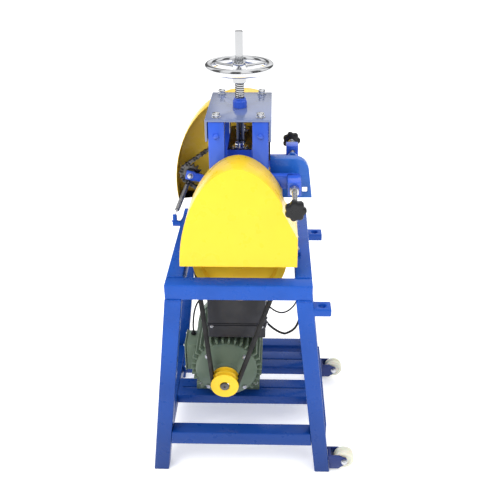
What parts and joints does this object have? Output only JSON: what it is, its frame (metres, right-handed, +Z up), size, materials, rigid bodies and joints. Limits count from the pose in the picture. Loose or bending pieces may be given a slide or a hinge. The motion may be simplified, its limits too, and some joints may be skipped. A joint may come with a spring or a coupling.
{
  "type": "cable stripping machine",
  "caption": "Floor-standing cable stripping machine: handwheel-set knife carriage, belt and chain drive, guards and infeed guides on a tube stand.",
  "frame": {"origin": "bottom centre of the machine's box, on the floor", "axes": "+Z up, +Y away from the belt side towards the chain side, +X towards the infeed guides and the transport wheels"},
  "size_m": [0.5366, 0.4844, 1.116],
  "materials": {
    "blue_paint": "gloss blue enamel",
    "yellow_paint": "gloss yellow enamel",
    "green_paint": "semi-matt grey-green machine paint",
    "bright_steel": "bright turned or plated",
    "cast_iron": "machined",
    "dark_steel": "oiled",
    "black_plastic": "moulded",
    "black_paint": "semi-matt black",
    "black_rubber": "matt",
    "nylon": "off-white moulded"
  },
  "bodies": {
    "root": {"bearing_housing_far": "blue_paint", "bearing_housing_near": "blue_paint", "belt_guard": "yellow_paint", "bridge_plate": "blue_paint", "chain_guard": "yellow_paint", "column_far_left": "blue_paint", "column_far_right": "blue_paint", "column_near_left": "blue_paint", "column_near_right": "blue_paint", "control_cable": "black_rubber", "drive_chain": "dark_steel", "electrical_box": "black_paint", "head_base_plate": "blue_paint", "leg_far_left": "blue_paint", "leg_far_right": "blue_paint", "leg_near_left": "blue_paint", "leg_near_right": "blue_paint", "low_rail_far": "blue_paint", "low_rail_left": "blue_paint", "low_rail_near": "blue_paint", "low_rail_right": "blue_paint", "motor_body": "green_paint", "motor_lead": "black_rubber", "motor_rail_far": "blue_paint", "motor_rail_near": "blue_paint", "spindle_nut": "blue_paint", "supply_cable": "black_rubber", "tension_spring": "bright_steel", "top_rail_far": "blue_paint", "top_rail_left": "blue_paint", "top_rail_near": "blue_paint", "top_rail_right": "blue_paint", "v_belt_far": "black_rubber", "v_belt_near": "black_rubber", "wheel_fork_far": "blue_paint", "wheel_fork_near": "blue_paint"},
    "carriage": {"carriage": "blue_paint"},
    "spindle": {"spindle": "bright_steel", "handwheel": "bright_steel"},
    "knife": {"knife_shaft": "bright_steel", "knife_wheel": "bright_steel", "knife_sprocket": "dark_steel"},
    "feed_roller": {"feed_roller_shaft": "bright_steel", "feed_roller": "cast_iron", "roller_sprocket": "dark_steel"},
    "drive_shaft": {"drive_shaft": "bright_steel", "driven_pulley": "yellow_paint", "drive_sprocket": "dark_steel"},
    "motor_rotor": {"motor_shaft": "bright_steel", "motor_pulley": "yellow_paint"},
    "idler_arm": {"idler_arm": "blue_paint"},
    "idler_wheel": {"idler_sprocket": "dark_steel"},
    "near_guide": {"near_guide_plate": "blue_paint"},
    "near_screw": {"near_guide_screw": "bright_steel", "near_star_knob": "black_plastic"},
    "far_guide": {"far_guide_plate": "blue_paint"},
    "far_screw": {"far_guide_screw": "bright_steel", "far_star_knob": "black_plastic"},
    "wheel_near": {"transport_wheel_near": "nylon"},
    "wheel_far": {"transport_wheel_far": "nylon"}
  },
  "joints": [
    {"name": "handwheel_turn", "type": "hinge", "parent": "carriage", "child": "spindle", "pos_m": [-0.03184, 0.02175, 1.035], "axis": [0, 0, 1], "range_deg": [-1296, 2160]},
    {"name": "carriage_slide", "type": "slide", "parent": "root", "child": "carriage", "axis": [0, 0, 1], "range_m": [-0.0181, 0.0301], "deforming": ["drive_chain"]},
    {"name": "drive_spin", "type": "hinge", "parent": "root", "child": "drive_shaft", "pos_m": [-0.03184, -0.12825, 0.612], "axis": [0, 1, 0], "continuous": true},
    {"name": "motor_spin", "type": "hinge", "parent": "root", "child": "motor_rotor", "pos_m": [-0.07583, -0.12825, 0.232], "axis": [0, 1, 0], "continuous": true},
    {"name": "feed_roller_spin", "type": "hinge", "parent": "root", "child": "feed_roller", "pos_m": [-0.03184, 0.03375, 0.7], "axis": [0, 1, 0], "continuous": true},
    {"name": "knife_spin", "type": "hinge", "parent": "carriage", "child": "knife", "pos_m": [-0.03184, 0.03375, 0.805], "axis": [0, 1, 0], "continuous": true},
    {"name": "idler_spin", "type": "hinge", "parent": "idler_arm", "child": "idler_wheel", "pos_m": [-0.17383, 0.17175, 0.714], "axis": [0, 1, 0], "continuous": true},
    {"name": "idler_swing", "type": "hinge", "parent": "root", "child": "idler_arm", "pos_m": [-0.08184, 0.15405, 0.69], "axis": [0, 1, 0], "range_deg": [-4, 6], "stiffness_Nm_per_rad": 30, "deforming": ["tension_spring", "drive_chain"]},
    {"name": "near_guide_slide", "type": "slide", "parent": "root", "child": "near_guide", "axis": [0, 1, 0], "range_m": [-0.015, 0.03]},
    {"name": "near_screw_turn", "type": "hinge", "parent": "near_guide", "child": "near_screw", "pos_m": [0.09617, -0.22425, 0.79], "axis": [0, 1, 0], "range_deg": [-3090, 6180]},
    {"name": "far_guide_slide", "type": "slide", "parent": "root", "child": "far_guide", "axis": [0, -1, 0], "range_m": [-0.02, 0.03]},
    {"name": "far_screw_turn", "type": "hinge", "parent": "far_guide", "child": "far_screw", "pos_m": [0.09617, 0.21175, 0.79], "axis": [0, -1, 0], "range_deg": [-4120, 6180]},
    {"name": "wheel_near_spin", "type": "hinge", "parent": "root", "child": "wheel_near", "pos_m": [0.24233, -0.17625, 0.038], "axis": [0, 1, 0], "continuous": true},
    {"name": "wheel_far_spin", "type": "hinge", "parent": "root", "child": "wheel_far", "pos_m": [0.24233, 0.21975, 0.038], "axis": [0, 1, 0], "continuous": true}
  ],
  "couplings": [
    {"joint": "carriage_slide", "follows": "handwheel_turn", "m_per_rad": 0.00079577},
    {"joint": "motor_spin", "follows": "drive_spin", "ratio": 3.4062},
    {"joint": "feed_roller_spin", "follows": "drive_spin", "ratio": -0.76471},
    {"joint": "knife_spin", "follows": "drive_spin", "ratio": 0.76471},
    {"joint": "idler_spin", "follows": "drive_spin", "ratio": 1},
    {"joint": "near_screw_turn", "follows": "near_guide_slide", "rad_per_m": 3590.4},
    {"joint": "far_screw_turn", "follows": "far_guide_slide", "rad_per_m": 3590.4}
  ]
}
